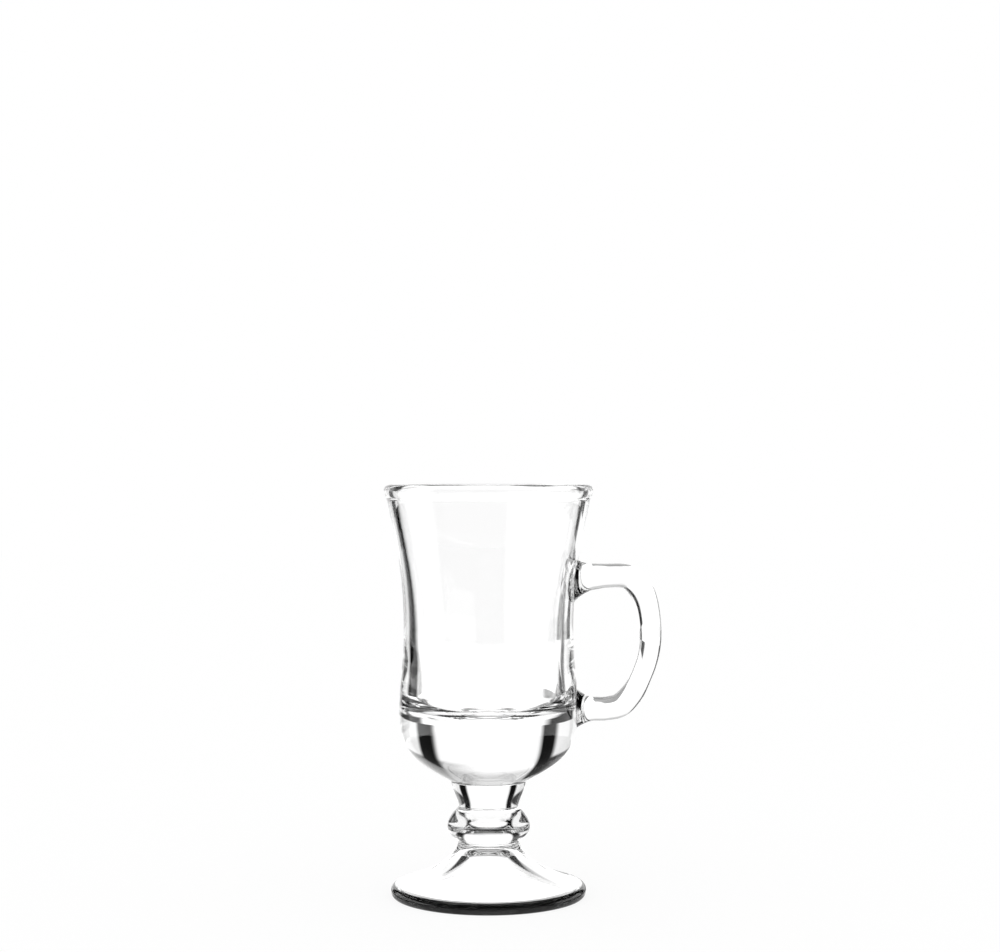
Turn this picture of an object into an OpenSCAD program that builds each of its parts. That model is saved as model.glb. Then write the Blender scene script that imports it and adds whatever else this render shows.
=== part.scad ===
// Irish coffee mug of clear pressed glass: a flared bowl on a ringed stem with a
// domed foot, and a side handle fused to the bowl. The origin is on the mug's
// axis, in the plane that the foot stands on. +Z is up and the handle is at +X.

/* [Rim] */
// Height of the whole mug, from the table to the top of the rim
mug_h = 147; // [138:1:160]
// Outer diameter of the bead round the rim
rim_d = 75; // [72:0.5:80]
// Height of the bead, measured down from the top of the rim
bead_h = 6; // [4.8:0.1:7]
// Thickness of the rounded lip
lip_t = 4.3; // [3.6:0.1:4.8]
// How far the bead stands out from the wall under it
bead_step = 1.2; // [0.6:0.1:1.6]

/* [Bowl] */
// Outer diameter of the bowl at its waist
waist_d = 60.8; // [57:0.2:63]
// Height of the waist above the table
waist_z = 95; // [88:0.5:100]
// Outer diameter of the bowl at its belly
belly_d = 64; // [60:0.2:67]
// Height of the belly above the table
belly_z = 65; // [62:0.5:69]
// Thickness of the wall at the waist
waist_wall = 4; // [2.5:0.1:5]
// Thickness of the wall at the belly
belly_wall = 6.3; // [4.5:0.1:7.5]
// Thickness of the solid glass under the deepest point of the inside
floor_t = 22; // [18:0.5:24]
// Height of the inside's rounded floor, from its deepest point to the straight wall
floor_round_h = 10; // [8:0.5:13]

/* [Stem] */
// Height at which the bowl sits on the neck
neck_top_z = 41; // [39.5:0.1:43]
// Diameter of the neck where the bowl sits on it
neck_top_d = 27; // [25:0.2:30]
// Diameter of the neck where it meets the ring
neck_low_d = 21.2; // [19:0.2:23]
// Height at which the neck meets the ring
neck_low_z = 31.7; // [30.5:0.1:33]
// Largest diameter of the ring round the stem
knop_d = 29.7; // [27:0.1:33]
// Height of the ring's widest line
knop_z = 24.9; // [23.5:0.1:27]

/* [Foot] */
// Height at which the ring sits on the foot
foot_top_z = 19.1; // [18:0.1:20.2]
// Diameter of the foot where the ring sits on it
foot_top_d = 21.9; // [19.5:0.2:23.5]
// Outer diameter of the foot
foot_d = 70; // [66:0.5:76]
// Radius of the foot's rounded edge
foot_edge_r = 2.3; // [1.9:0.1:2.7]
// Height of the hollow under the foot
hollow_h = 16.2; // [13:0.2:17]
// Width of the flat ring that the foot stands on
stand_w = 2.4; // [1.4:0.1:3]

/* [Handle] */
// How far the handle's outer face stands out from the waist
handle_reach = 31.7; // [28:0.1:36]
// Height of the lower arm's centre line above the table
handle_low_z = 66.6; // [64:0.1:69]
// Distance between the centre lines of the two arms
handle_h = 47.7; // [44:0.1:50]
// Thickness of the handle, seen from the side
handle_t = 8; // [6:0.1:9.5]
// Width of the handle, seen from its end
handle_w = 11; // [8:0.1:13]

/* [Hidden] */

// Fineness: steps of a curve, sides of a turned piece, and the handle's mesh
curve_steps = 10;
turn_sides = 96;
bow_steps = 4;
bow_sides = 24;

// Radii
rim_r = rim_d / 2;
waist_r = waist_d / 2;
belly_r = belly_d / 2;
neck_top_r = neck_top_d / 2;
neck_low_r = neck_low_d / 2;
knop_r = knop_d / 2;
foot_top_r = foot_top_d / 2;
foot_r = foot_d / 2;

// Bead: its crown is half round, and it swells out of the wall under it
crown_r = lip_t / 2;
crown_z = mug_h - crown_r;
bead_z = mug_h - bead_h;
wall_top_r = rim_r - bead_step;

// Inside of the bowl
inside_top_r = rim_r - lip_t;
inside_waist_r = waist_r - waist_wall;
inside_belly_r = belly_r - belly_wall;
inside_floor_z = neck_top_z + floor_t;
inside_belly_z = inside_floor_z + floor_round_h;

// Where the curves' control points lie, as shares of the stretch they bend
flare_out_share = 0.61;
flare_up_share = 0.26;
flare_low_share = 0.49;
belly_share = 0.4;
base_drop_share = 0.48;
base_out_share = 0.8;
base_up_share = 0.32;
bead_out_share = 0.15;
bead_low_share = 0.36;
bead_high_share = 0.5;
inside_flare_out_share = 0.9;
inside_flare_share = 0.215;
inside_waist_share = 0.455;
inside_waist_out_share = 0.11;
floor_square_share = 0.75;

// A point of the cubic curve that starts at a, ends at d and is drawn towards b and c
function curve_point(a, b, c, d, t) =
    a * pow(1 - t, 3) + b * 3 * t * pow(1 - t, 2) + c * 3 * t * t * (1 - t) + d * pow(t, 3);

// The points of that curve, without its first one
function curve(a, b, c, d) =
    [for (i = [1 : curve_steps]) curve_point(a, b, c, d, i / curve_steps)];

// Points of an arc round a centre, from one angle to another, without its first one
function arc(centre, r, from, to) =
    [for (i = [1 : curve_steps])
        let (angle = from + (to - from) * i / curve_steps)
        centre + r * [cos(angle), sin(angle)]];

// A value part of the way from one value to another
function between(low, high, share) = low + (high - low) * share;

// The bowl's outside, from the neck up to the underside of the bead
bowl_base = [neck_top_r, neck_top_z];
bowl_belly = [belly_r, belly_z];
bowl_waist = [waist_r, waist_z];
bowl_shoulder = [wall_top_r, bead_z];
outside = concat(
    [bowl_base],
    curve(
        bowl_base,
        [between(neck_top_r, belly_r, base_out_share), between(neck_top_z, belly_z, base_up_share)],
        [belly_r, between(belly_z, neck_top_z, base_drop_share)],
        bowl_belly),
    curve(
        bowl_belly,
        [belly_r, between(belly_z, waist_z, belly_share)],
        [waist_r, between(waist_z, belly_z, belly_share)],
        bowl_waist),
    curve(
        bowl_waist,
        [waist_r, between(waist_z, bead_z, flare_low_share)],
        [between(waist_r, wall_top_r, flare_out_share), between(bead_z, waist_z, flare_up_share)],
        bowl_shoulder));

// The bead, from the wall out to the rim and over the crown to the inside
bead = concat(
    curve(
        bowl_shoulder,
        [between(wall_top_r, rim_r, bead_out_share), between(bead_z, crown_z, bead_low_share)],
        [rim_r, between(bead_z, crown_z, bead_high_share)],
        [rim_r, crown_z]),
    arc([rim_r - crown_r, crown_z], crown_r, 0, 180));

// The bowl's inside, from the lip down to the deepest point
inside = concat(
    curve(
        [inside_top_r, crown_z],
        [between(inside_waist_r, inside_top_r, inside_flare_out_share),
            between(crown_z, waist_z, inside_flare_share)],
        [between(inside_waist_r, inside_top_r, inside_waist_out_share),
            between(waist_z, crown_z, inside_waist_share)],
        [inside_waist_r, waist_z]),
    curve(
        [inside_waist_r, waist_z],
        [inside_waist_r, between(waist_z, inside_belly_z, belly_share)],
        [inside_belly_r, between(inside_belly_z, waist_z, belly_share)],
        [inside_belly_r, inside_belly_z]),
    curve(
        [inside_belly_r, inside_belly_z],
        [inside_belly_r, between(inside_belly_z, inside_floor_z, floor_square_share)],
        [inside_belly_r * floor_square_share, inside_floor_z],
        [0, inside_floor_z]));

module turned(points) {
    rotate_extrude($fn = turn_sides) polygon(points);
}

// The outline of the bowl filled to the axis: what the handle lies against
module bowl_body() {
    turned(concat([[0, neck_top_z]], outside, [[0, bead_z]]));
}

module bowl() {
    color("lightcyan", 0.4) turned(concat([[0, neck_top_z]], outside, bead, inside));
}

// Neck: a solid stem that widens upwards into the bowl's base
neck_low_out_share = 0.09;
neck_low_up_share = 0.25;
neck_top_in_share = 0.17;
neck_top_drop_share = 0.35;
module stem_neck() {
    top = [neck_top_r, neck_top_z];
    low = [neck_low_r, neck_low_z];
    side = concat(
        [low],
        curve(
            low,
            [between(neck_low_r, neck_top_r, neck_low_out_share),
                between(neck_low_z, neck_top_z, neck_low_up_share)],
            [between(neck_top_r, neck_low_r, neck_top_in_share),
                between(neck_top_z, neck_low_z, neck_top_drop_share)],
            top));
    color("paleturquoise", 0.4) turned(concat([[0, neck_low_z]], side, [[0, neck_top_z]]));
}

// Ring round the stem: a short straight step, a slope out to the widest line, and a round shoulder
knop_step_share = 0.12;
knop_low_out_share = 0.78;
knop_low_up_share = 0.36;
knop_taper_share = 0.43;
knop_crest_share = 0.265;
knop_shoulder_share = 0.66;
knop_top_share = 0.41;
module knop() {
    top = [neck_low_r, neck_low_z];
    wide = [knop_r, knop_z];
    low = [foot_top_r, between(foot_top_z, knop_z, knop_step_share)];
    lower = curve(
        low,
        [between(foot_top_r, knop_r, knop_low_out_share),
            between(low[1], knop_z, knop_low_up_share)],
        [knop_r, between(knop_z, low[1], knop_taper_share)],
        wide);
    upper = curve(
        wide,
        [knop_r, between(knop_z, neck_low_z, knop_crest_share)],
        [between(neck_low_r, knop_r, knop_shoulder_share),
            between(neck_low_z, knop_z, knop_top_share)],
        top);
    color("powderblue", 0.4)
        turned(concat(
            [[0, foot_top_z], [foot_top_r, foot_top_z], low],
            lower,
            upper,
            [[0, neck_low_z]]));
}

// Foot: a dome drawn out to a rounded edge, hollow underneath, on a flat ring
foot_pull_share = 0.03;
foot_drop_share = 0.28;
foot_spread_share = 0.25;
foot_spread_up_share = 0.345;
hollow_knee_share = [0.24, 0.8];
hollow_low_share = [0.7, 0.12];
hollow_mid_share = [0.36, 0.5];
hollow_high_share = [0.19, 0.89];
hollow_top_share = 0.14;
module foot() {
    // The edge is round, and cut flat where it stands
    edge_z = sqrt(pow(foot_edge_r, 2) - pow(stand_w / 2, 2));
    edge = [foot_r - foot_edge_r, edge_z];
    edge_top = [edge[0], edge_z + foot_edge_r];
    stand_angle = -asin(edge_z / foot_edge_r);
    crest = [foot_top_r, foot_top_z];
    top = concat(
        [crest],
        curve(
            crest,
            [between(foot_top_r, edge[0], foot_pull_share),
                between(foot_top_z, edge_top[1], foot_drop_share)],
            [between(foot_top_r, edge[0], foot_spread_share),
                between(edge_top[1], foot_top_z, foot_spread_up_share)],
            edge_top));
    round_side = [for (i = [1 : curve_steps - 1])
        let (angle = between(90, stand_angle, i / curve_steps))
        edge + foot_edge_r * [cos(angle), sin(angle)]];
    stand_out = [edge[0] + stand_w / 2, 0];
    stand_in = [edge[0] - stand_w / 2, 0];
    knee = [stand_in[0] * hollow_knee_share[0], hollow_h * hollow_knee_share[1]];
    under = concat(
        curve(
            stand_in,
            [stand_in[0] * hollow_low_share[0], hollow_h * hollow_low_share[1]],
            [stand_in[0] * hollow_mid_share[0], hollow_h * hollow_mid_share[1]],
            knee),
        curve(
            knee,
            [stand_in[0] * hollow_high_share[0], hollow_h * hollow_high_share[1]],
            [stand_in[0] * hollow_top_share, hollow_h],
            [0, hollow_h]));
    color("azure", 0.4)
        turned(concat([[0, foot_top_z]], top, round_side, [stand_out, stand_in], under));
}

// Handle: each row below is one place along the centre line. Its shares are how
// far out it lies, how high it lies, how thick the handle is there and how wide.
handle_shares = [
    [-0.09, 0.93, 2.3, 1.75],
    [0.015, 0.937, 2.15, 1.6],
    [0.135, 0.962, 1.52, 1.25],
    [0.25, 0.989, 1.2, 1.05],
    [0.42, 1, 1.075, 1],
    [0.63, 1, 1.075, 1],
    [0.76, 0.972, 1.1, 1],
    [0.885, 0.885, 1.1, 1],
    [0.965, 0.757, 1.01, 1],
    [1, 0.56, 0.97, 1],
    [0.965, 0.388, 0.95, 1],
    [0.865, 0.229, 0.95, 1],
    [0.77, 0.124, 1, 1],
    [0.61, 0.03, 1.06, 1],
    [0.42, 0.002, 1.045, 1],
    [0.27, 0, 1.06, 1.05],
    [0.163, 0.004, 1.25, 1.25],
    [0.06, 0.01, 1.75, 1.6],
    [-0.04, 0.012, 2.0, 1.75]];
// How square the handle's section is: 2 is an ellipse
section_power = 2.5;

bow_reach = handle_reach - handle_t / 2;
// Each place as x, z, thickness and width
bow_places = [for (s = handle_shares)
    [waist_r + bow_reach * s[0], handle_low_z + handle_h * s[1], handle_t * s[2], handle_w * s[3]]];
bow_last = len(bow_places) - 1;

// A smooth curve through the places: the stretch after place i, t of the way along
function bow_at(i, t) =
    let (
        a = bow_places[max(i - 1, 0)],
        b = bow_places[i],
        c = bow_places[i + 1],
        d = bow_places[min(i + 2, bow_last)])
    b + (c - a) * t / 2 + (2 * a - 5 * b + 4 * c - d) * t * t / 2
        + (3 * b - a - 3 * c + d) * t * t * t / 2;

bow_line = concat(
    [for (i = [0 : bow_last - 1]) for (k = [0 : bow_steps - 1]) bow_at(i, k / bow_steps)],
    [bow_places[bow_last]]);
bow_rings = len(bow_line);

// The section's point at an angle, for half sizes of 1
function section(angle) =
    let (c = cos(angle), s = sin(angle), p = 2 / section_power)
    [sign(c) * pow(abs(c), p), sign(s) * pow(abs(s), p)];

// One ring of points, square to the centre line
function bow_ring(i) =
    let (
        here = bow_line[i],
        ahead = bow_line[min(i + 1, bow_rings - 1)] - bow_line[max(i - 1, 0)],
        size = norm([ahead[0], ahead[1]]),
        out = [-ahead[1], ahead[0]] / size)
    [for (k = [0 : bow_sides - 1])
        let (
            q = section(360 * k / bow_sides),
            n = q[0] * here[2] / 2)
        [here[0] + out[0] * n, q[1] * here[3] / 2, here[1] + out[1] * n]];

bow_points = [for (i = [0 : bow_rings - 1]) each bow_ring(i)];

function bow_index(i, k) = i * bow_sides + k % bow_sides;

bow_faces = concat(
    [[for (k = [0 : bow_sides - 1]) bow_index(0, k)]],
    [[for (k = [bow_sides - 1 : -1 : 0]) bow_index(bow_rings - 1, k)]],
    [for (i = [0 : bow_rings - 2]) for (k = [0 : bow_sides - 1]) each [
        [bow_index(i, k), bow_index(i + 1, k), bow_index(i + 1, k + 1)],
        [bow_index(i, k), bow_index(i + 1, k + 1), bow_index(i, k + 1)]]]);

module handle() {
    color("lightblue", 0.5) difference() {
        polyhedron(bow_points, bow_faces);
        bowl_body();
    }
}

bowl();
stem_neck();
knop();
foot();
handle();
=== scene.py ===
# Irish coffee mug in clear pressed glass: the looks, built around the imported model.
import math

import bpy
import numpy as np
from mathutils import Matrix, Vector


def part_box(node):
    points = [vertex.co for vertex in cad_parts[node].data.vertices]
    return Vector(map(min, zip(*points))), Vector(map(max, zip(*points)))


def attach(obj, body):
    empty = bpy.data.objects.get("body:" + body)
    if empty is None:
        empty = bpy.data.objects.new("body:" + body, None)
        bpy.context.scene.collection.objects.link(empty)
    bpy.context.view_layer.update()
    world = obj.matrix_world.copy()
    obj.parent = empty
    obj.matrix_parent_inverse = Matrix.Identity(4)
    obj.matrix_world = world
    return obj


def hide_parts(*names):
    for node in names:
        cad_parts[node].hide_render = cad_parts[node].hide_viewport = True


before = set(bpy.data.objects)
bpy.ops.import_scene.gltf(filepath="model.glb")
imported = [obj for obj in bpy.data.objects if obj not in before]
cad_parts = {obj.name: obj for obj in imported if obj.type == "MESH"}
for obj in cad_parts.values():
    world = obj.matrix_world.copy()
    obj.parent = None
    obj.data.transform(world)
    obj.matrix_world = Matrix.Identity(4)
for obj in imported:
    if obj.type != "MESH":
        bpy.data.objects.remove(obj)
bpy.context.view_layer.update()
print("mug: frame loaded")

bowlLow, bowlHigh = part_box("bowl")
neckLow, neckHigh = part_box("stem_neck")
knopLow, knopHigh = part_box("knop")
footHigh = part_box("foot")[1]

# How finely the curves and the turned pieces are divided
turning = {
    "sides": 240,  # facets round a turned piece
    "curveSteps": 200,  # steps of a cubic curve, before its points are spaced evenly
    "arcSteps": 60,
    "discRings": 5,  # rings of a joint's disc
    # spacing of the rings
    "wallStep": 0.001,
    "insideStep": 0.0005,
    "stemStep": 0.0004,
    "ringStep": 0.0003,
}
white = (1.0, 1.0, 1.0, 1.0)


def between(low, high, share):
    # the value at a share of the way from low to high
    return low + (high - low) * share


def bezier(a, b, c, d):
    # cubic curve: the four points weighed by (1-t)^3, 3t(1-t)^2, 3t^2(1-t) and t^3
    t = np.linspace(0.0, 1.0, turning["curveSteps"] + 1)[:, None]
    a, b, c, d = (np.asarray(p, float) for p in (a, b, c, d))
    return a * (1 - t) ** 3 + 3 * b * t * (1 - t) ** 2 + 3 * c * t ** 2 * (1 - t) + d * t ** 3


def arc(centre, radius, start, end):
    # points at one radius round a centre, the angle running evenly from start to end in degrees
    angle = np.radians(np.linspace(start, end, turning["arcSteps"] + 1))
    return np.asarray(centre) + radius * np.column_stack([np.cos(angle), np.sin(angle)])


def joined(*curves):
    # curves end to end, each one's first point dropped where the last one ended
    return np.vstack([curves[0]] + [c[1:] for c in curves[1:]])


def evenly(points, step):
    # the same line with its points spaced evenly along its length
    run = np.concatenate([[0.0], np.cumsum(np.linalg.norm(np.diff(points, axis=0), axis=1))])
    at = np.linspace(0.0, run[-1], max(2, round(run[-1] / step)) + 1)
    return np.column_stack([np.interp(at, run, points[:, k]) for k in range(points.shape[1])])


def disc(radius, z):
    # a flat disc's profile, from the axis out to the radius
    r = np.linspace(0.0, radius, turning["discRings"] + 1)
    return np.column_stack([r, np.full_like(r, z)])


def closedRings(rings, lowPole, highPole):
    # points and faces of a stack of rings: quads between neighbouring points, and a fan of triangles from
    # each end ring to its pole. A point's number is row * sides + side, and the poles come last
    count, sides = rings.shape[:2]
    side = np.arange(sides)
    after = (side + 1) % sides
    start = np.arange(count - 1)[:, None] * sides
    corners = [start + side, start + after, start + sides + after, start + sides + side]
    quads = np.stack(corners, axis=-1).reshape(-1, 4)
    top = (count - 1) * sides
    pole = count * sides
    fanLow = np.column_stack([np.full(sides, pole), after, side])
    fanHigh = np.column_stack([top + side, top + after, np.full(sides, pole + 1)])
    points = np.vstack([rings.reshape(-1, 3), lowPole, highPole])
    return points, quads, np.vstack([fanLow, fanHigh])


def makePiece(name, points, quads, quadSlots, triangles, triangleSlots, materials):
    # one mesh from whole arrays: slot 0 is glass, and slot 1 is a face that is fused to a neighbour.
    # Points that no face uses are left out
    mesh = bpy.data.meshes.new(name)
    used, loops = np.unique(np.concatenate([quads.ravel(), triangles.ravel()]), return_inverse=True)
    points = points[used].astype(np.float32)
    loops = loops.astype(np.int32)
    sizes = np.concatenate([np.full(len(quads), 4), np.full(len(triangles), 3)]).astype(np.int32)
    starts = np.concatenate([[0], np.cumsum(sizes)[:-1]]).astype(np.int32)
    slots = np.concatenate([quadSlots, triangleSlots]).astype(np.int32)
    mesh.vertices.add(len(points))
    mesh.vertices.foreach_set("co", points.ravel())
    mesh.loops.add(len(loops))
    mesh.loops.foreach_set("vertex_index", loops)
    mesh.polygons.add(len(sizes))
    mesh.polygons.foreach_set("loop_start", starts)
    mesh.polygons.foreach_set("material_index", slots)
    mesh.polygons.foreach_set("use_smooth", slots == 0)
    for material in materials:
        mesh.materials.append(material)
    mesh.update(calc_edges=True)
    mesh.validate()
    piece = bpy.data.objects.new(name, mesh)
    bpy.context.collection.objects.link(piece)
    return piece


def turned(profile, fused):
    # the profile (radius, height) swept round the axis: x = r cos a, y = r sin a. Its first and last
    # points are poles, and fused is 1 for each of its stretches that is a joint
    sides = turning["sides"]
    rings = profile[1:-1]
    angle = 2 * np.pi * np.arange(sides) / sides
    x = rings[:, :1] * np.cos(angle)
    y = rings[:, :1] * np.sin(angle)
    z = np.repeat(rings[:, 1:], sides, axis=1)
    poles = ((0, 0, profile[0, 1]), (0, 0, profile[-1, 1]))
    points, quads, triangles = closedRings(np.stack([x, y, z], axis=-1), *poles)
    return points, quads, np.repeat(fused[1:-1], sides), triangles, np.repeat(fused[[0, -1]], sides)


# Glass: clear and fire-polished, with the faint ripple that a mould leaves
glass = {
    "transmission": 1.0,
    "roughness": 0.0,
    "ior": 1.52,
    "ripple": 0.02,  # strength of the mould's ripple
    "rippleScale": 55.0,  # ripples to the metre
    "rippleDetail": 1.0,
    "rippleDepth": 0.001,
    # where the ripple starts, so that no two glasses share a pattern
    "bodyStart": (0.0, 0.0, 0.0),
    "footStart": (0.12, 0.4, 0.2),
    "handleStart": (0.31, 0.17, 0.05),
}


def link(tree, source, target):
    # joins one node's output to another's input
    tree.links.new(source, target)


def mapped(tree, value, ends):
    # carries a value from one range to another: ends are both ends of the first, then of the second
    node = tree.nodes.new("ShaderNodeMapRange")
    for key, end in zip(("From Min", "From Max", "To Min", "To Max"), ends):
        node.inputs[key].default_value = end
    link(tree, value, node.inputs["Value"])
    return node.outputs["Result"]


def clearGlass(name, start):
    # clear glass whose normal is tilted by the slope of a noise in Object coordinates
    material = bpy.data.materials.new(name)
    material.use_nodes = True
    tree = material.node_tree
    shader = tree.nodes["Principled BSDF"]
    shader.inputs["Base Color"].default_value = white
    shader.inputs["Transmission Weight"].default_value = glass["transmission"]
    shader.inputs["Roughness"].default_value = glass["roughness"]
    shader.inputs["IOR"].default_value = glass["ior"]
    place = tree.nodes.new("ShaderNodeTexCoord")
    shift = tree.nodes.new("ShaderNodeMapping")
    shift.inputs["Location"].default_value = start
    ripple = tree.nodes.new("ShaderNodeTexNoise")
    ripple.inputs["Scale"].default_value = glass["rippleScale"]
    ripple.inputs["Detail"].default_value = glass["rippleDetail"]
    bump = tree.nodes.new("ShaderNodeBump")
    bump.inputs["Strength"].default_value = glass["ripple"]
    bump.inputs["Distance"].default_value = glass["rippleDepth"]
    link(tree, place.outputs["Object"], shift.inputs["Vector"])
    link(tree, shift.outputs["Vector"], ripple.inputs["Vector"])
    link(tree, ripple.outputs["Fac"], bump.inputs["Height"])
    link(tree, bump.outputs["Normal"], shader.inputs["Normal"])
    return material


def fusedFace():
    # where two gathers are fused the glass runs on, so the face between them shows nothing
    material = bpy.data.materials.new("fusedJoint")
    material.use_nodes = True
    tree = material.node_tree
    tree.nodes.remove(tree.nodes["Principled BSDF"])
    clear = tree.nodes.new("ShaderNodeBsdfTransparent")
    clear.inputs["Color"].default_value = white
    link(tree, clear.outputs["BSDF"], tree.nodes["Material Output"].inputs["Surface"])
    return material


fused = fusedFace()
bodyGlass = clearGlass("clearGlassBody", glass["bodyStart"])
footGlass = clearGlass("clearGlassFoot", glass["footStart"])
handleGlass = clearGlass("clearGlassHandle", glass["handleStart"])
print("mug: glass mixed")

# Bowl: flared wall, beaded rim and a rounded floor
bowl = {
    "lip": 0.0043,  # thickness of the rounded lip
    "bead": 0.006,  # height of the bead round the rim
    "beadStep": 0.0012,  # how far the bead stands out
    "waist": (0.0304, 0.095),  # radius and height of the waist
    "belly": (0.032, 0.065),  # radius and height of the belly
    "waistWall": 0.004,
    "bellyWall": 0.0063,
    "floor": 0.022,  # glass under the deepest point
    "floorRound": 0.01,  # height of the rounded floor
    # where the curves are pulled to, as shares of the way out or up
    "beadOut": 0.15,
    "beadLow": 0.36,
    "beadHigh": 0.5,
    "flareOut": 0.61,
    "flareUp": 0.26,
    "flareLow": 0.49,
    "bellyPull": 0.4,
    "baseDrop": 0.48,
    "baseOut": 0.8,
    "baseUp": 0.32,
    "insideOut": 0.9,
    "insideTop": 0.215,
    "insideWaist": 0.455,
    "insideIn": 0.11,
    "floorSquare": 0.75,
}
baseR, baseZ = neckHigh[1], bowlLow[2]
rimR, rimZ = bowlHigh[1], bowlHigh[2]


def bowlOutside():
    # three cubic curves from the base over the belly and waist up to the bead
    waistR, waistZ = bowl["waist"]
    bellyR, bellyZ = bowl["belly"]
    beadZ = rimZ - bowl["bead"]
    wallR = rimR - bowl["beadStep"]
    base = bezier(
        (baseR, baseZ),
        (between(baseR, bellyR, bowl["baseOut"]), between(baseZ, bellyZ, bowl["baseUp"])),
        (bellyR, between(bellyZ, baseZ, bowl["baseDrop"])),
        (bellyR, bellyZ))
    belly = bezier(
        (bellyR, bellyZ),
        (bellyR, between(bellyZ, waistZ, bowl["bellyPull"])),
        (waistR, between(waistZ, bellyZ, bowl["bellyPull"])),
        (waistR, waistZ))
    flare = bezier(
        (waistR, waistZ),
        (waistR, between(waistZ, beadZ, bowl["flareLow"])),
        (between(waistR, wallR, bowl["flareOut"]), between(beadZ, waistZ, bowl["flareUp"])),
        (wallR, beadZ))
    return joined(base, belly, flare)


def bowlBead():
    # a cubic curve out of the wall, and a half round over the lip
    wallR, halfLip = rimR - bowl["beadStep"], bowl["lip"] / 2
    beadZ, crownZ = rimZ - bowl["bead"], rimZ - halfLip
    under = bezier(
        (wallR, beadZ),
        (between(wallR, rimR, bowl["beadOut"]), between(beadZ, crownZ, bowl["beadLow"])),
        (rimR, between(beadZ, crownZ, bowl["beadHigh"])),
        (rimR, crownZ))
    return joined(under, arc((rimR - halfLip, crownZ), halfLip, 0, 180))


def bowlInside():
    # three cubic curves from the lip down the wall and round to the floor
    topR, topZ = rimR - bowl["lip"], rimZ - bowl["lip"] / 2
    waistR, waistZ = bowl["waist"][0] - bowl["waistWall"], bowl["waist"][1]
    floorZ = baseZ + bowl["floor"]
    bellyR, bellyZ = bowl["belly"][0] - bowl["bellyWall"], floorZ + bowl["floorRound"]
    flare = bezier(
        (topR, topZ),
        (between(waistR, topR, bowl["insideOut"]), between(topZ, waistZ, bowl["insideTop"])),
        (between(waistR, topR, bowl["insideIn"]), between(waistZ, topZ, bowl["insideWaist"])),
        (waistR, waistZ))
    wall = bezier(
        (waistR, waistZ),
        (waistR, between(waistZ, bellyZ, bowl["bellyPull"])),
        (bellyR, between(bellyZ, waistZ, bowl["bellyPull"])),
        (bellyR, bellyZ))
    floor = bezier(
        (bellyR, bellyZ),
        (bellyR, between(bellyZ, floorZ, bowl["floorSquare"])),
        (bellyR * bowl["floorSquare"], floorZ),
        (0.0, floorZ))
    return joined(flare, wall, floor)


outside = bowlOutside()


def wallRadius(z):
    # radius of the bowl's outside at a height, straight between the points of its profile
    return np.interp(z, outside[:, 1], outside[:, 0])


# Handle: a bar that bows out, with a root spread on the wall at each end
handle = {
    "thick": 0.008,
    "wide": 0.011,
    "square": 2.15,  # 2 is an ellipse
    "lowArm": 0.0666,  # height of the lower arm's middle
    "rise": 0.0477,  # from the lower arm's middle to the upper arm's
    "reach": 0.0277,  # from the waist to the bow's middle
    # places along the middle: shares of reach, rise, thickness and width
    "places": [
        (0.27, 0.993, 1.17, 1.02), (0.42, 1.0, 1.075, 1.0), (0.63, 1.0, 1.075, 1.0),
        (0.76, 0.972, 1.1, 1.0), (0.885, 0.885, 1.1, 1.0), (0.965, 0.757, 1.01, 1.0),
        (1.0, 0.56, 0.97, 1.0), (0.965, 0.388, 0.95, 1.0), (0.865, 0.229, 0.95, 1.0),
        (0.77, 0.124, 1.0, 1.0), (0.61, 0.03, 1.06, 1.0), (0.42, 0.002, 1.045, 1.0),
        (0.27, 0.0, 1.06, 1.02)],
    "stretchRings": 10,  # rings to each stretch between places
    "rootRings": 16,
    # each root's outline on the wall: middle height, half height, half width, and which way the bar's
    # outer side faces there, 1 for up and -1 for down
    "upperRoot": (0.1122, 0.0077, 0.0082, 1),
    "lowerRoot": (0.0668, 0.0071, 0.0082, -1),
    "rootSquare": 2.2,
    "wallPull": 0.18,  # how far the root hugs the wall before it leaves it
    "armPull": 0.4,  # how far the arm runs straight into the root
    "windowSides": 14,  # half width of the wall's window, in facets
    "windowRows": 24,  # its height in rings
    "rimRings": 12,  # from the window's border to the root's outline
    "capRings": 6,  # from the outline to the root's middle
}
roots = ("upperRoot", "lowerRoot")


def windowAngles():
    # the points on a rectangle's border, from its top's middle towards +Y and all the way round: steps
    # across, steps down, and the angle at which each one lies = arctan(across / up)
    half, rows = handle["windowSides"], handle["windowRows"]
    across = np.concatenate([
        np.arange(0, half), np.full(rows, half), np.arange(half, -half, -1),
        np.full(rows, -half), np.arange(-half, 0)])
    down = np.concatenate([
        np.zeros(half, int), np.arange(0, rows), np.full(2 * half, rows),
        np.arange(rows, 0, -1), np.zeros(half, int)])
    return across, down, np.arctan2(across / half, 1 - 2 * down / rows)


windowAcross, windowDown, sectionAngle = windowAngles()


def superellipse(square):
    # cosine and sine of each angle, raised to 2 / square with their signs kept
    c, s = np.cos(sectionAngle), np.sin(sectionAngle)
    power = 2.0 / square
    return np.sign(c) * np.abs(c) ** power, np.sign(s) * np.abs(s) ** power


def onWall(angle, z):
    # the point of the bowl's outside at an angle and a height: x = r cos a, y = r sin a
    r = wallRadius(z)
    return np.stack([r * np.cos(angle), r * np.sin(angle), z], axis=-1)


def onWallMiddle(root):
    # the middle of the root's face on the wall, where the angle is 0
    return onWall(0.0, np.float64(handle[root][0]))


def footprint(root):
    # the root's outline on the wall, a superellipse, as angle round the axis and height:
    # z = middle + half height * cosine, angle = arcsin(half width * sine / r)
    middle, halfHeight, halfWidth, way = handle[root]
    c, s = superellipse(handle["rootSquare"])
    z = middle + way * halfHeight * c
    return np.arcsin(halfWidth * s / wallRadius(z)), z


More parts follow.
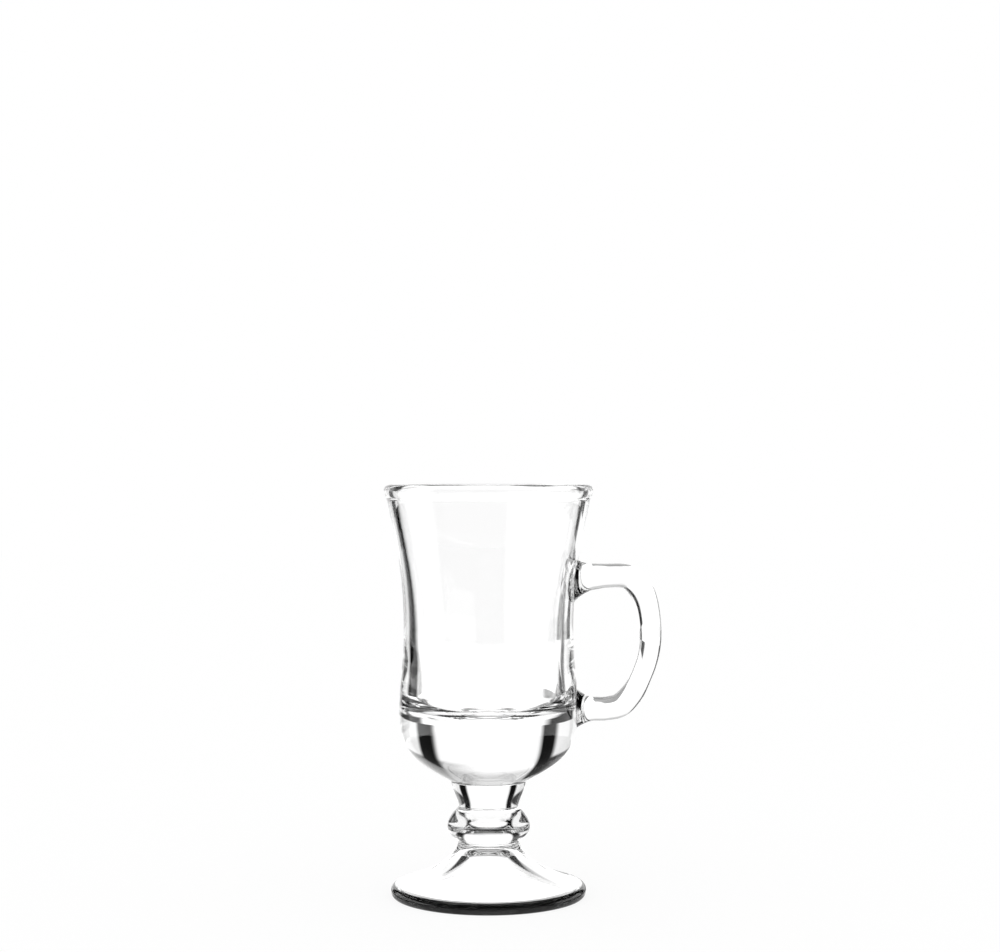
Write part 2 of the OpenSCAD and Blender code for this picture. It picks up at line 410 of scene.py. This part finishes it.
def capRows(root):
    # rings on the wall that shrink from the root's outline towards its middle, as angle and height
    angle, z = footprint(root)
    middle = handle[root][0]
    share = np.linspace(1.0, 0.0, handle["capRings"] + 1)[:-1, None]
    return angle * share, middle + (z - middle) * share


def handlePlaces():
    # out, up, half thickness and half width at each place, worked out from its shares
    s = np.array(handle["places"])
    return np.column_stack([
        bowl["waist"][0] + handle["reach"] * s[:, 0],
        handle["lowArm"] + handle["rise"] * s[:, 1],
        handle["thick"] * s[:, 2] / 2,
        handle["wide"] * s[:, 3] / 2])


def smoothLine(places, steps):
    # Catmull-Rom curve: each stretch is a cubic whose slope at a place is half the step across it
    ends = np.vstack([2 * places[0] - places[1], places, 2 * places[-1] - places[-2]])
    t = np.linspace(0.0, 1.0, steps, endpoint=False)[None, :, None]
    a, b, c, d = (ends[k:len(ends) - 3 + k, None, :] for k in range(4))
    line = (b + (c - a) * t / 2 + (2 * a - 5 * b + 4 * c - d) * t ** 2 / 2
            + (3 * b - a - 3 * c + d) * t ** 3 / 2)
    return np.vstack([line.reshape(-1, places.shape[1]), places[-1:]])


def barRings():
    # the section carried along the middle line, square to it: middle + out * half thickness * cosine
    # + y * half width * sine
    line = smoothLine(handlePlaces(), handle["stretchRings"])
    ahead = np.gradient(line[:, :2], axis=0)
    ahead /= np.linalg.norm(ahead, axis=1, keepdims=True)
    c, s = superellipse(handle["square"])
    x = line[:, :1] - ahead[:, 1:2] * line[:, 2:3] * c
    z = line[:, 1:2] + ahead[:, :1] * line[:, 2:3] * c
    y = line[:, 3:4] * s
    return np.stack([x, y, z], axis=-1), ahead


def rootRings(onTheWall, onTheArm, along):
    # cubic curves from each point of the root's outline to its point of the arm. They leave along the
    # wall, towards the arm, and arrive along the arm
    t = np.linspace(0.0, 1.0, handle["rootRings"] + 1)[:-1, None, None]
    across = onTheArm - onTheWall
    outwards = onTheWall * (1.0, 1.0, 0.0)
    outwards /= np.linalg.norm(outwards, axis=-1, keepdims=True)
    hugging = across - outwards * (across * outwards).sum(-1, keepdims=True)
    reach = (across * along).sum(-1, keepdims=True)
    b = onTheWall + hugging * handle["wallPull"]
    c = onTheArm - along * reach * handle["armPull"]
    return (onTheWall * (1 - t) ** 3 + 3 * b * t * (1 - t) ** 2
            + 3 * c * t ** 2 * (1 - t) + onTheArm * t ** 3)


def makeHandle():
    # the bar's rings, carried on by each root's rings and closed by the rings of its face on the wall
    bar, ahead = barRings()
    start = np.array([ahead[0, 0], 0.0, ahead[0, 1]])
    end = -np.array([ahead[-1, 0], 0.0, ahead[-1, 1]])
    upper = rootRings(onWall(*footprint("upperRoot")), bar[0], start)
    lower = rootRings(onWall(*footprint("lowerRoot")), bar[-1], end)[::-1]
    upperCap = onWall(*capRows("upperRoot"))[1:][::-1]
    lowerCap = onWall(*capRows("lowerRoot"))[1:]
    rings = np.concatenate([upperCap, upper, bar, lower, lowerCap])
    points, quads, triangles = closedRings(rings, *map(onWallMiddle, roots))
    count, sides = rings.shape[:2]
    capRing = handle["capRings"] - 1
    joints = np.repeat([1, 0, 1], [capRing, count - 1 - 2 * capRing, capRing])
    return makePiece(
        "handleBar", points, quads[:, ::-1], np.repeat(joints, sides),
        triangles[:, ::-1], np.ones(len(triangles), int), [handleGlass, fused])


def wallPatch(root, wall, wallRow, firstRing, firstPoint):
    # rings that close in from the window's border to the root's outline and on to its middle, their angle
    # and height running evenly from one to the next. Their points are numbered on from firstPoint
    rootAngle, rootZ = footprint(root)
    capAngle, capZ = capRows(root)
    t = np.linspace(0.0, 1.0, handle["rimRings"] + 1)[1:-1, None]
    borderAngle = 2 * np.pi * windowAcross / turning["sides"]
    angle = np.vstack([between(borderAngle, rootAngle, t), capAngle])
    z = np.vstack([between(wall[wallRow, 1], rootZ, t), capZ])
    points = np.vstack([onWall(angle, z).reshape(-1, 3), onWallMiddle(root)])
    border = (wallRow + firstRing) * turning["sides"] + windowAcross % turning["sides"]
    numbers = np.vstack([border, firstPoint + np.arange(angle.size).reshape(angle.shape)])
    after = np.roll(numbers, -1, axis=1)
    quads = np.stack([numbers[:-1], numbers[1:], after[1:], after[:-1]], axis=-1).reshape(-1, 4)
    joints = np.repeat([0, 1], [handle["rimRings"], handle["capRings"] - 1])
    quadSlots = np.repeat(joints, len(border))
    centre = np.full(len(border), firstPoint + angle.size)
    triangles = np.column_stack([after[-1], numbers[-1], centre])
    if handle[root][-1] < 0:
        quads, triangles = quads[:, ::-1], triangles[:, ::-1]
    return points, quads, quadSlots, triangles, np.ones(len(triangles), int)


def makeBowl():
    # the turned bowl, with a window cut out of its wall at each root and filled with that root's patch
    floorDisc = disc(baseR, baseZ)
    wall = evenly(outside, turning["wallStep"])
    inside = evenly(joined(bowlBead(), bowlInside()), turning["insideStep"])
    profile = joined(floorDisc, wall, inside)
    joints = (np.arange(len(profile) - 1) < len(floorDisc) - 1).astype(int)
    points, quads, quadSlots, triangles, triangleSlots = turned(profile, joints)
    half, rows, sides = handle["windowSides"], handle["windowRows"], turning["sides"]
    firstRing = len(floorDisc) - 2  # the ring at the wall's foot, as the disc's middle is no ring
    ring, side = np.divmod(np.arange(len(quads)), sides)
    keep = np.ones(len(quads), bool)
    patches = []
    for root in roots:
        lowRow = np.argmin(np.abs(wall[:, 1] - handle[root][0])) - rows // 2
        high = (ring >= firstRing + lowRow) & (ring < firstRing + lowRow + rows)
        keep &= ~(high & ((side < half) | (side >= sides - half)))
        wallRow = lowRow + (rows - windowDown if handle[root][-1] > 0 else windowDown)
        patch = wallPatch(root, wall, wallRow, firstRing, len(points))
        points = np.vstack([points, patch[0]])
        patches.append(patch[1:])
    # each part of the turned bowl, with the same part of both patches
    parts = zip((quads[keep], quadSlots[keep], triangles, triangleSlots), *patches)
    faces = (np.concatenate(part) for part in parts)
    return makePiece("bowlShell", points, *faces, [bodyGlass, fused])


bowlShell = makeBowl()
handleBar = makeHandle()
print("mug: bowl and handle made")

# Stem: the neck and the ring round it
stem = {
    "neckLow": 0.0106,  # radius where the neck meets the ring
    "knopWide": 0.0249,  # height of the ring's widest line
    "knopStep": 0.12,  # straight stretch under the ring, as a share of the way up to that line
    # where the curves are pulled to, as shares of the way out and up
    "neckLowPull": (0.09, 0.25),
    "neckTopPull": (0.17, 0.35),
    "knopTop": (0.66, 0.41),
    "knopLow": (0.78, 0.36),
    "knopCrest": 0.265,
    "knopTaper": 0.43,
}


def turnedPiece(name, side, step, material, lowDisc=True):
    # a turned solid: its side, closed by a fused disc at the top and, if it has one, at the bottom
    side = evenly(side, step)
    low = disc(*side[0])[:-1] if lowDisc else side[:0]
    high = disc(*side[-1])[-2::-1]
    joints = np.repeat([1, 0, 1], [len(low), len(side) - 1, len(high)])
    return makePiece(name, *turned(np.vstack([low, side, high]), joints), [material, fused])


def neckSide():
    # one cubic curve that widens upwards
    lowR, lowZ, topR, topZ = stem["neckLow"], neckLow[2], neckHigh[1], neckHigh[2]
    return bezier(
        (lowR, lowZ),
        (between(lowR, topR, stem["neckLowPull"][0]), between(lowZ, topZ, stem["neckLowPull"][1])),
        (between(topR, lowR, stem["neckTopPull"][0]), between(topZ, lowZ, stem["neckTopPull"][1])),
        (topR, topZ))


def knopSide():
    # a short straight stretch, then two cubic curves that meet at the widest line
    wideR, wideZ = knopHigh[1], stem["knopWide"]
    footR, footZ = foot["top"], between(knopLow[2], wideZ, stem["knopStep"])
    neckR, neckZ = stem["neckLow"], knopHigh[2]
    pullR, pullZ = stem["knopLow"]
    lower = bezier(
        (footR, footZ),
        (between(footR, wideR, pullR), between(footZ, wideZ, pullZ)),
        (wideR, between(wideZ, footZ, stem["knopTaper"])),
        (wideR, wideZ))
    outR, outZ = stem["knopTop"]
    upper = bezier(
        (wideR, wideZ),
        (wideR, between(wideZ, neckZ, stem["knopCrest"])),
        (between(neckR, wideR, outR), between(neckZ, wideZ, outZ)),
        (neckR, neckZ))
    return np.vstack([(footR, knopLow[2]), joined(lower, upper)])


# Foot: a dome drawn out to a rounded edge, hollow underneath, on a flat ring
foot = {
    "top": 0.01095,  # radius where the ring sits on it
    "edge": 0.0023,  # radius of the rounded edge
    "stand": 0.0024,  # width of the flat ring it stands on
    "hollow": 0.0162,  # height of the hollow
    # where the dome's curve is pulled to, as shares of the way out and down or up
    "topPull": (0.03, 0.28),
    "edgePull": (0.25, 0.345),
    # points of the hollow's curves, as shares of its radius and height
    "knee": (0.24, 0.8),
    "hollowLow": (0.7, 0.12),
    "hollowMid": (0.36, 0.5),
    "hollowHigh": (0.19, 0.89),
    "hollowTop": 0.14,
    "paintedEdgeShade": (0.033, 0.0336, 1.0, 0.001),  # two radii, and the glass's colour at each: clear, then dark, a painted shade on the foot's edge
}


def footSide():
    # from the middle of the hollow down to the flat ring, round the edge and up the dome. The edge is a
    # circle cut off by the flat ring, so its middle is sqrt(radius^2 - half the ring's width^2) up
    edgeR, halfStand = foot["edge"], foot["stand"] / 2
    middleR = footHigh[1] - edgeR
    middleZ = math.sqrt(edgeR ** 2 - halfStand ** 2)
    innerR, hollow = middleR - halfStand, foot["hollow"]
    knee, low, mid, high = (
        (innerR * foot[key][0], hollow * foot[key][1])
        for key in ("knee", "hollowLow", "hollowMid", "hollowHigh"))
    crown = bezier((0.0, hollow), (innerR * foot["hollowTop"], hollow), high, knee)
    under = bezier(knee, mid, low, (innerR, 0.0))
    edge = arc((middleR, middleZ), edgeR, -math.degrees(math.asin(middleZ / edgeR)), 90)
    edgeTopZ, topZ = middleZ + edgeR, footHigh[2]
    pullOut, pullUp = foot["edgePull"]
    topOut, topDown = foot["topPull"]
    dome = bezier(
        (middleR, edgeTopZ),
        (between(foot["top"], middleR, pullOut), between(edgeTopZ, topZ, pullUp)),
        (between(foot["top"], middleR, topOut), between(topZ, edgeTopZ, topDown)),
        (foot["top"], topZ))
    return np.vstack([crown, under[1:], edge, dome[1:]])


def paintEdgeShade(material):
    # painted shade: the glass's colour darkens with its distance from the axis, so that the foot's edge
    # is dark
    tree = material.node_tree
    place = tree.nodes.new("ShaderNodeTexCoord")
    flat = tree.nodes.new("ShaderNodeVectorMath")
    flat.operation = "MULTIPLY"
    flat.inputs[1].default_value = (1.0, 1.0, 0.0)  # the height drops out
    link(tree, place.outputs["Object"], flat.inputs[0])
    length = tree.nodes.new("ShaderNodeVectorMath")
    length.operation = "LENGTH"
    link(tree, flat.outputs["Vector"], length.inputs[0])
    paintedEdgeShade = mapped(tree, length.outputs["Value"], foot["paintedEdgeShade"])
    link(tree, paintedEdgeShade, tree.nodes["Principled BSDF"].inputs["Base Color"])


# the foot's glass gets a painted shade on its edge
paintEdgeShade(footGlass)
neckPiece = turnedPiece("stemNeck", neckSide(), turning["stemStep"], bodyGlass)
knopPiece = turnedPiece("stemRing", knopSide(), turning["ringStep"], bodyGlass)
footPiece = turnedPiece("domedFoot", footSide(), turning["stemStep"], footGlass, lowDisc=False)
print("mug: stem and foot made")

for piece, node in ((bowlShell, "bowl"), (neckPiece, "stem_neck"), (knopPiece, "knop"),
                    (footPiece, "foot"), (handleBar, "handle")):
    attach(piece, "root")
    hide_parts(node)

# Studio: a white room under a dark ceiling, with dark cards and a painted contact shadow under the foot's
# edge that only the glass sees
studio = {
    "floor": 3.0,  # half width of the floor
    # brightness of the walls by compass angle: 0 is behind the mug, 90 on its handle's side
    "walls": [
        (-180, 0.1), (-116, 0.1), (-108, 0.9), (-41, 0.9), (-37, 0.0), (-28, 0.0), (-25, 1.0),
        (25, 1.0), (28.5, 0.0), (39.5, 0.0), (43, 0.9), (92, 0.9), (98, 0.1), (180, 0.1)],
    # what is left of it at each height above the horizon, in degrees
    "ceiling": [(0, 1.0), (19, 1.0), (22, 0.04), (58, 0.04), (62, 1.0), (90, 1.0)],
    # the same for the part behind the mug, and the share of it by compass angle
    "backCeiling": [
        (0, 1.0), (25, 1.0), (31, 0.6), (42, 0.65), (45, 0.05), (58, 0.05), (62, 1.0), (90, 1.0)],
    "back": [(-180, 0.0), (-38, 0.0), (-32, 1.0), (2, 1.0), (32, 0.3), (38, 0.0), (180, 0.0)],
    # brightness of the floor's rings by compass angle
    "middleFloor": [
        (-180, 0.2), (-115, 0.2), (-110, 1.0), (-64, 1.0), (-58, 0.0), (-37, 0.0), (-34, 0.2),
        (-31, 0.6), (-26, 1.0), (42, 1.0), (47, 0.2), (53, 0.2), (57, 1.0),
        (155, 1.0), (160, 0.2), (180, 0.2)],
    "outerFloor": [
        (-180, 0.2), (-115, 0.2), (-110, 1.0), (-64, 1.0), (-58, 0.0), (-37, 0.0), (-34, 0.2),
        (-31, 0.6), (-26, 1.0), (20, 1.0), (23, 0.05), (33, 0.05), (38, 0.7), (44, 0.6),
        (47, 0.2), (53, 0.2), (57, 1.0), (155, 1.0), (160, 0.2), (180, 0.2)],
    "farFloor": [
        (-180, 0.1), (-115, 0.1), (-110, 1.0), (-64, 1.0), (-58, 0.0), (-32, 0.0), (-26, 1.0),
        (33, 1.0), (37, 0.05), (108, 0.05), (115, 1.0), (155, 1.0), (160, 0.1), (180, 0.1)],
    "nearFloor": [
        (-180, 0.05), (-66, 0.05), (-60, 0.3), (-54, 1.0), (15, 1.0), (18, 0.3), (50, 0.3),
        (60, 0.05), (180, 0.05)],
    "besideFoot": [
        (-180, 0.04), (-110, 0.04), (-62, 0.1), (-54, 1.0), (22, 1.0), (25, 0.12), (102, 0.06),
        (180, 0.04)],
    # a painted contact shadow under the foot's edge, which only the glass sees: dark towards the front,
    # clear behind
    "edgeContactShadow": [
        (-180, 0.35), (-100, 0.4), (-85, 1.0), (85, 1.0), (100, 0.4), (180, 0.35)],
    # the rings from the mug outwards, and the radius where each one starts
    "rings": ("edgeContactShadow", "besideFoot", "nearFloor", "middleFloor", "outerFloor", "farFloor"),
    "radii": (0.0265, 0.0425, 0.088, 0.2, 0.58, 0.95),
    "boost": 1.12,  # how much brighter than white the room is to the glass
    # two radii, and the floor's own boost within the first: it falls to the room's at the second
    "bright": (0.15, 0.6, 1.5),
    "shadow": 0.12,  # how much of the floor's white is lit, so that it can hold a shadow
}


def maths(tree, operation, *values):
    # one sum, worked out by a node: each value is a number or another node's output
    node = tree.nodes.new("ShaderNodeMath")
    node.operation = operation
    for socket, value in zip(node.inputs, values):
        if isinstance(value, (int, float)):
            socket.default_value = value
        else:
            link(tree, value, socket)
    return node.outputs["Value"]


def ramped(tree, share, levels, low, high):
    # the level at a share of the way from low to high, straight between the places listed
    ramp = tree.nodes.new("ShaderNodeValToRGB")
    link(tree, share, ramp.inputs["Fac"])
    marks = ramp.color_ramp.elements
    while len(marks) < len(levels):
        marks.new(1.0)
    for mark, (place, level) in zip(marks, levels):
        mark.position = (place - low) / (high - low)
        mark.color = (level, level, level, 1.0)
    return ramp.outputs["Color"]


def byCompass(tree, vector, levels):
    # the level in the direction of a vector, by its compass angle = arctan(x / y)
    parts = tree.nodes.new("ShaderNodeSeparateXYZ")
    link(tree, vector, parts.inputs["Vector"])
    angle = maths(tree, "ARCTAN2", parts.outputs["X"], parts.outputs["Y"])
    share = maths(tree, "MULTIPLY_ADD", angle, 1 / (2 * math.pi), 0.5)
    return ramped(tree, share, levels, -180, 180)


# Places of a mix node's sockets for colours
mixing = {"factor": 0, "a": 6, "b": 7, "result": 2}


def mixColours(tree, factor, a, b, blend="MIX"):
    # a + (b - a) * factor, or a * b for MULTIPLY at a factor of 1
    node = tree.nodes.new("ShaderNodeMix")
    node.data_type = "RGBA"
    node.blend_type = blend
    for key, value in (("factor", factor), ("a", a), ("b", b)):
        socket = node.inputs[mixing[key]]
        if isinstance(value, (int, float, tuple)):
            socket.default_value = value
        else:
            link(tree, value, socket)
    return node.outputs[mixing["result"]]


def plainRays(tree):
    # rays that see the plain white room: the camera's own, and the ones that light matte surfaces
    path = tree.nodes.new("ShaderNodeLightPath")
    return maths(tree, "MAXIMUM", path.outputs["Is Camera Ray"], path.outputs["Is Diffuse Ray"])


def brightness(tree, plain, level, more):
    # the level for plain rays, and level * more for the ones that come through the glass:
    # level * (1 + (1 - plain) * (more - 1))
    share = maths(tree, "SUBTRACT", 1.0, plain)
    gain = maths(tree, "MULTIPLY_ADD", share, maths(tree, "SUBTRACT", more, 1.0), 1.0)
    return maths(tree, "MULTIPLY", gain, level)


def makeWorld():
    # the room, as the glass sees it: walls by compass angle, times the ceiling by height = arcsin(z)
    world = bpy.data.worlds.new("studioRoom")
    bpy.context.scene.world = world
    world.use_nodes = True
    tree = world.node_tree
    place = tree.nodes.new("ShaderNodeTexCoord").outputs["Generated"]
    parts = tree.nodes.new("ShaderNodeSeparateXYZ")
    link(tree, place, parts.inputs["Vector"])
    height = maths(tree, "ARCSINE", parts.outputs["Z"])
    share = maths(tree, "MULTIPLY", height, 2 / math.pi)
    around, behind = (ramped(tree, share, studio[key], 0, 90) for key in ("ceiling", "backCeiling"))
    ceiling = mixColours(tree, byCompass(tree, place, studio["back"]), around, behind)
    cards = mixColours(tree, 1.0, byCompass(tree, place, studio["walls"]), ceiling, "MULTIPLY")
    plain = plainRays(tree)
    shade = tree.nodes["Background"]
    link(tree, mixColours(tree, plain, cards, white), shade.inputs["Color"])
    link(tree, brightness(tree, plain, 1.0, studio["boost"]), shade.inputs["Strength"])


def floorMaterial():
    # each ring's brightness beyond its radius, as the glass sees it. The floor glows, to be as white as
    # the room, but a small share of its white is lit instead, so that the mug's shadow shows
    material = bpy.data.materials.new("whiteFloor")
    material.use_nodes = True
    tree = material.node_tree
    tree.nodes.remove(tree.nodes["Principled BSDF"])
    place = tree.nodes.new("ShaderNodeTexCoord").outputs["Object"]
    length = tree.nodes.new("ShaderNodeVectorMath")
    length.operation = "LENGTH"
    link(tree, place, length.inputs[0])
    distance = length.outputs["Value"]
    cards = white
    # the first ring, under the foot's edge, is a painted contact shadow
    for radius, ring in zip(studio["radii"], studio["rings"]):
        past = maths(tree, "GREATER_THAN", distance, radius)
        cards = mixColours(tree, past, cards, byCompass(tree, place, studio[ring]))
    glow = tree.nodes.new("ShaderNodeEmission")
    plain = plainRays(tree)
    seen = mixColours(tree, plain, cards, white)
    link(tree, seen, glow.inputs["Color"])
    more = mapped(tree, distance, (*studio["bright"], studio["boost"]))
    link(tree, brightness(tree, plain, 1.0 - studio["shadow"], more), glow.inputs["Strength"])
    matte = tree.nodes.new("ShaderNodeBsdfDiffuse")
    dimmed = (studio["shadow"],) * 3 + (1.0,)
    link(tree, mixColours(tree, 1.0, seen, dimmed, "MULTIPLY"), matte.inputs["Color"])
    both = tree.nodes.new("ShaderNodeAddShader")
    link(tree, glow.outputs["Emission"], both.inputs[0])
    link(tree, matte.outputs["BSDF"], both.inputs[1])
    link(tree, both.outputs["Shader"], tree.nodes["Material Output"].inputs["Surface"])
    return material


def makeFloor():
    # a square under the mug, only for the renders
    half = studio["floor"]
    corners = [(-half, -half, 0.0), (half, -half, 0.0), (half, half, 0.0), (-half, half, 0.0)]
    mesh = bpy.data.meshes.new("studioFloor")
    mesh.from_pydata(corners, [], [(0, 1, 2, 3)])
    mesh.materials.append(floorMaterial())
    floor = bpy.data.objects.new("studioFloor", mesh)
    bpy.context.collection.objects.link(floor)


makeWorld()
makeFloor()
print("mug: studio set")

# Camera: level, a little higher than the rim, in front of the mug
view = {
    "lens": 70.3,
    "sensor": 36.0,
    "place": (0.0041, -0.7, 0.15),
    "turn": (90, 0, 0),  # in degrees: it looks level, along +Y
    # how often a ray may bounce or pass through a surface
    "bounces": 32,
    "throughGlass": 32,
    "glossy": 16,
    "throughJoints": 48,
}
camera = bpy.data.objects.new("photoCamera", bpy.data.cameras.new("photoCamera"))
camera.data.lens = view["lens"]
camera.data.sensor_width = view["sensor"]
camera.location = view["place"]
camera.rotation_euler = [math.radians(angle) for angle in view["turn"]]
bpy.context.collection.objects.link(camera)
scene = bpy.context.scene
scene.camera = camera
scene.view_settings.view_transform = "Standard"
scene.cycles.max_bounces = view["bounces"]
scene.cycles.transmission_bounces = view["throughGlass"]
scene.cycles.glossy_bounces = view["glossy"]
scene.cycles.transparent_max_bounces = view["throughJoints"]
print("mug: camera set")
